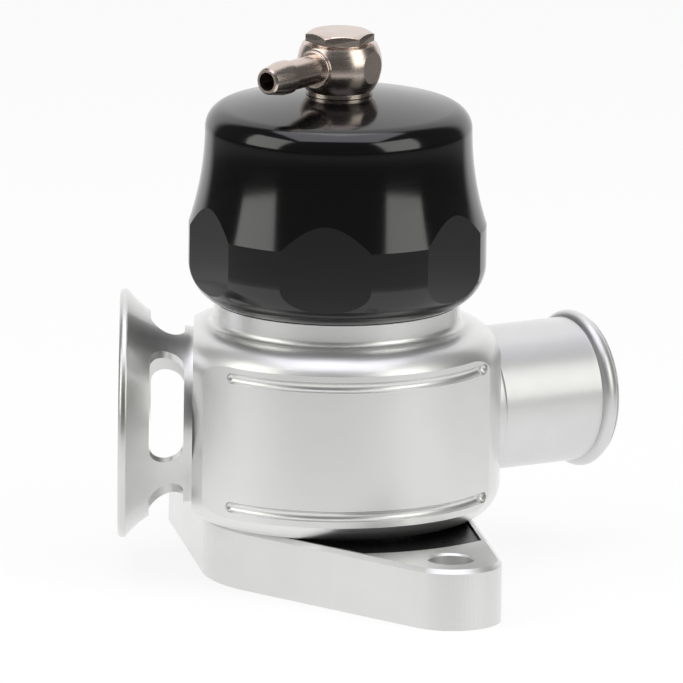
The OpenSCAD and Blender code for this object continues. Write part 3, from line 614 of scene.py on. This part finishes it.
tree = newTree("screw ring", {"Screw": "NodeSocketObject", "Reach": "NodeSocketFloat",
                              "Turn": "NodeSocketFloat", "Half": "NodeSocketFloat",
                              "Material": "NodeSocketMaterial"})
given = addNode(tree, "NodeGroupInput")
screw = addNode(tree, "GeometryNodeObjectInfo", {"Object": given.outputs["Screw"]})
index = addNode(tree, "GeometryNodeInputIndex")
pair = addNode(tree, "ShaderNodeMath", {0: index.outputs[0], 1: 2.0}, operation="DIVIDE")
end = addNode(tree, "ShaderNodeMath", {0: pair.outputs[0]}, operation="FLOOR")
even = addNode(tree, "ShaderNodeMath", {0: index.outputs[0], 1: 2.0}, operation="MODULO")
side = addNode(tree, "ShaderNodeMath", {0: even.outputs[0], 1: 2.0, 2: -1.0}, operation="MULTIPLY_ADD")
swing = addNode(tree, "ShaderNodeMath",
                {0: side.outputs[0], 1: given.outputs["Half"], 2: given.outputs["Turn"]},
                operation="MULTIPLY_ADD")
turn = addNode(tree, "ShaderNodeMath", {0: end.outputs[0], 1: math.pi, 2: swing.outputs[0]},
               operation="MULTIPLY_ADD")
across = addNode(tree, "ShaderNodeMath", {0: turn.outputs[0]}, operation="COSINE")
along = addNode(tree, "ShaderNodeMath", {0: turn.outputs[0]}, operation="SINE")
spoke = addNode(tree, "ShaderNodeCombineXYZ", {"X": across.outputs[0], "Y": along.outputs[0]})
place = addNode(tree, "ShaderNodeVectorMath", {0: spoke.outputs[0], "Scale": given.outputs["Reach"]},
                operation="SCALE")
spots = addNode(tree, "GeometryNodePoints", {"Count": 4, "Position": place.outputs[0]})
spin = addNode(tree, "ShaderNodeCombineXYZ", {"Z": turn.outputs[0]})
copies = addNode(tree, "GeometryNodeInstanceOnPoints",
                 {"Points": spots.outputs[0], "Instance": screw.outputs["Geometry"],
                  "Rotation": spin.outputs[0]})
real = addNode(tree, "GeometryNodeRealizeInstances", {"Geometry": copies.outputs[0]})
painted = addNode(tree, "GeometryNodeSetMaterial",
                  {"Geometry": real.outputs[0], "Material": given.outputs["Material"]})
addNode(tree, "NodeGroupOutput", {"Geometry": painted.outputs[0]})
flangeScrews = newPiece("flangeScrews", bmesh.new())
runTree(flangeScrews, tree, {"Screw": oneScrew, "Reach": plan["reach"] * mm,
                             "Turn": math.radians(plan["turn"]), "Half": math.radians(plan["half"]),
                             "Material": blackOxide})
bpy.data.objects.remove(oneScrew)
shadeEdges(flangeScrews, sharp=30)
finishPiece(flangeScrews, "flange_screws", blackOxide)
print("screws:", len(flangeScrews.data.polygons), "faces")


# a copy of a CAD solid, welded, with its flat faces joined
def dressedSolid(node, pieceName):
    work = bmesh.new()
    work.from_mesh(frame["nodes"][node].data)
    bmesh.ops.remove_doubles(work, verts=work.verts, dist=1e-6)
    bmesh.ops.dissolve_limit(work, angle_limit=math.radians(0.2), verts=work.verts, edges=work.edges)
    return newPiece(pieceName, work)


dressedPlans = {
    "base_flange": {"name": "baseFlange", "edge": 0.25, "slot": "satin_aluminium",
                    "material": milledAluminium},
    # the pad is a deep black sheet under the body's rim, standing in as painted shade of the gap there
    "seal_pad": {"name": "sealPad", "edge": 0.3, "slot": "rubber", "material": paintedShadeSheet},
    "banjo_bolt": {"name": "banjoBolt", "edge": 0.15, "slot": "nickel", "material": nickelPlate},
    "banjo_upper_washer": {"name": "upperWasher", "edge": 0.1, "slot": "nickel", "material": nickelPlate},
    "banjo_lower_washer": {"name": "lowerWasher", "edge": 0.1, "slot": "nickel", "material": nickelPlate},
    "piston": {"name": "valvePiston", "edge": 0.2, "slot": "satin_aluminium", "material": turnedAluminium},
}
for node, plan in dressedPlans.items():
    piece = dressedSolid(node, plan["name"])
    shadeEdges(piece, sharp=20, edgeMm=plan["edge"], hard=20)
    finishPiece(piece, node, plan["material"])
print("dressed solids:", len(dressedPlans))

# main spring: a copy of the solid, with a mesh of its own
mainSpring = dressedSolid("main_spring", "mainSpring")
shadeEdges(mainSpring, sharp=50)
finishPiece(mainSpring, "main_spring", springWire)
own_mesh(mainSpring)
print("main spring:", len(mainSpring.data.polygons), "faces")

keptNodes = {
    "inlet_o_ring": moulded, "base_o_ring": moulded, "cap_o_ring": moulded, "trumpet_o_ring": moulded,
    "recirc_o_ring": moulded, "piston_o_ring": moulded, "piston_face_seal": moulded,
    "piston_wear_band": filledBand, "spring_seat": turnedAcetal,
}
for node, material in keptNodes.items():
    solid = frame["nodes"][node]
    solid.data.materials.clear()
    solid.data.materials.append(material)
print("kept solids:", len(keptNodes))

# stage: pale floor, soft light and a dark camera side

# glow is the share of plain white in the floor that the camera and mirrors see; fade is in metres
floorPlan = {"size": 6.0, "colour": "#f2f2f1", "glow": 0.86, "back": (0.6, 0.8),
             "fade": ((0.29, 1.0), (0.36, 0.32), (0.52, 0.26), (0.7, 0.08))}
bpy.ops.mesh.primitive_plane_add(size=floorPlan["size"], location=(0, 0, cadBox[0][2]))
floor = bpy.context.object
floor.name = "studioFloor"
floorMaterial, tree = newMaterial("white painted studio floor")
seen = addNode(tree, "ShaderNodeLightPath")
place = addNode(tree, "ShaderNodeTexCoord")
# mirrors see a white table: a patch round the object and the sweep behind it
reach = addNode(tree, "ShaderNodeVectorMath", {0: place.outputs["Object"]}, operation="LENGTH")
near = addNode(tree, "ShaderNodeValToRGB", {"Fac": reach.outputs["Value"]})
for k, (distance, level) in enumerate(floorPlan["fade"]):
    stop = near.color_ramp.elements[k] if k < 2 else near.color_ramp.elements.new(distance)
    stop.position = distance
    stop.color = (level, level, level, 1)
heading = addNode(tree, "ShaderNodeVectorMath", {0: place.outputs["Object"]}, operation="NORMALIZE")
split = addNode(tree, "ShaderNodeSeparateXYZ", {"Vector": heading.outputs["Vector"]})
back = addNode(tree, "ShaderNodeMapRange",
               {"Value": split.outputs["Y"],
                "From Min": floorPlan["back"][0], "From Max": floorPlan["back"][1]},
               interpolation_type="SMOOTHSTEP")
edge = addNode(tree, "ShaderNodeMath", {0: near.outputs["Color"], 1: back.outputs["Result"]},
               operation="MAXIMUM")
strength = addNode(tree, "ShaderNodeMix",
                   {0: seen.outputs["Is Camera Ray"], 2: edge.outputs[0], 3: 1.0}, data_type="FLOAT")
sharpRay = addNode(tree, "ShaderNodeMath",
                   {0: seen.outputs["Is Glossy Ray"], 1: seen.outputs["Is Transmission Ray"]},
                   operation="MAXIMUM")
direct = addNode(tree, "ShaderNodeMath", {0: seen.outputs["Is Camera Ray"], 1: sharpRay.outputs[0]},
                 operation="MAXIMUM")
share = addNode(tree, "ShaderNodeMath", {0: direct.outputs[0], 1: floorPlan["glow"]}, operation="MULTIPLY")
tone = addNode(tree, "ShaderNodeVectorMath",
               {0: hexToLinear(floorPlan["colour"])[:3], "Scale": strength.outputs[0]}, operation="SCALE")
matt = addNode(tree, "ShaderNodeBsdfDiffuse", {"Color": tone.outputs[0]})
white = addNode(tree, "ShaderNodeEmission", {"Color": (1, 1, 1, 1), "Strength": strength.outputs[0]})
blend = addNode(tree, "ShaderNodeMixShader", {0: share.outputs[0], 1: matt.outputs[0], 2: white.outputs[0]})
addNode(tree, "ShaderNodeOutputMaterial", {"Surface": blend.outputs[0]})
floor.data.materials.append(floorMaterial)

worldPlan = {"white": 1.0, "dim": 0.09, "ambient": 0.55, "back": (0.6, 0.8)}
world = bpy.data.worlds.new("studio")
scene.world = world
world.use_nodes = True
tree = world.node_tree
tree.nodes.clear()
seen = addNode(tree, "ShaderNodeLightPath")
ray = addNode(tree, "ShaderNodeTexCoord")
level = addNode(tree, "ShaderNodeVectorMath", {0: ray.outputs["Generated"], 1: (1, 1, 0)},
                operation="MULTIPLY")
heading = addNode(tree, "ShaderNodeVectorMath", {0: level.outputs["Vector"]}, operation="NORMALIZE")
split = addNode(tree, "ShaderNodeSeparateXYZ", {"Vector": heading.outputs["Vector"]})
# mirrors see the white backdrop behind the object and a dim room elsewhere
back = addNode(tree, "ShaderNodeMapRange",
               {"Value": split.outputs["Y"],
                "From Min": worldPlan["back"][0], "From Max": worldPlan["back"][1]},
               interpolation_type="SMOOTHSTEP")
mirrored = addNode(tree, "ShaderNodeMix",
                   {0: back.outputs["Result"], 2: worldPlan["dim"], 3: worldPlan["white"]},
                   data_type="FLOAT")
sharpRay = addNode(tree, "ShaderNodeMath",
                   {0: seen.outputs["Is Glossy Ray"], 1: seen.outputs["Is Transmission Ray"]},
                   operation="MAXIMUM")
glossy = addNode(tree, "ShaderNodeMix",
                 {0: sharpRay.outputs[0], 2: worldPlan["ambient"], 3: mirrored.outputs[0]},
                 data_type="FLOAT")
shown = addNode(tree, "ShaderNodeMix",
                {0: seen.outputs["Is Camera Ray"], 2: glossy.outputs[0], 3: worldPlan["white"]},
                data_type="FLOAT")
sky = addNode(tree, "ShaderNodeBackground", {"Color": (1, 1, 1, 1), "Strength": shown.outputs[0]})
addNode(tree, "ShaderNodeOutputWorld", {"Surface": sky.outputs[0]})

# softboxes by direction from the object: degrees right of the camera, degrees up, metres away
lampPlans = {
    "leftSoftbox": {"turn": -68, "up": 25, "away": 0.66, "size": (0.40, 0.52), "watts": 1.5,
                    "colour": "#fafbf4"},
    "rightSoftbox": {"turn": 56, "up": 25, "away": 0.66, "size": (0.40, 0.52), "watts": 1.5,
                     "colour": "#fafbf4"},
    "topSoftbox": {"turn": 0, "up": 81, "away": 1.0, "size": (1.1, 0.9), "watts": 5.6,
                   "colour": "#f8f6ff"},
}
lampHeight = 65  # of the point that all lamps face
aim = Vector((0, 0, lampHeight * mm))
for name, plan in lampPlans.items():
    turn = math.radians(plan["turn"])
    up = math.radians(plan["up"])
    direction = Vector((math.sin(turn) * math.cos(up), -math.cos(turn) * math.cos(up), math.sin(up)))
    lamp = bpy.data.lights.new(name, "AREA")
    lamp.shape = "RECTANGLE"
    lamp.size, lamp.size_y = plan["size"]
    lamp.energy = plan["watts"]
    lamp.color = hexToLinear(plan["colour"])[:3]
    holder = bpy.data.objects.new(name, lamp)
    scene.collection.objects.link(holder)
    holder.location = aim + direction * plan["away"]
    holder.rotation_euler = direction.to_track_quat("Z", "Y").to_euler()
print("stage and lamps placed")

# camera: a long lens, almost parallel, a little above the object and rolled a trace; focal in pixels
cameraPlan = {"frame": 683, "pixelsPerMm": 4.256, "focal": 26000, "up": 12.8, "roll": 0.68,
              "aim": (1.23, 0.0, 54.9), "sensor": 36.0, "clipEnd": 20.0}
camera = bpy.data.cameras.new("productCamera")
camera.sensor_width = cameraPlan["sensor"]
camera.lens = cameraPlan["focal"] / cameraPlan["frame"] * cameraPlan["sensor"]
camera.clip_end = cameraPlan["clipEnd"]
holder = bpy.data.objects.new("productCamera", camera)
scene.collection.objects.link(holder)
away = cameraPlan["focal"] / cameraPlan["pixelsPerMm"] * mm
up = math.radians(cameraPlan["up"])
holder.location = Vector(cameraPlan["aim"]) * mm + away * Vector((0, -math.cos(up), math.sin(up)))
tilt = Matrix.Rotation(math.radians(90) - up, 4, "X")
roll = Matrix.Rotation(math.radians(cameraPlan["roll"]), 4, "Z")
holder.rotation_euler = (tilt @ roll).to_euler()
scene.camera = holder
scene.view_settings.view_transform = "Standard"
print("camera placed")
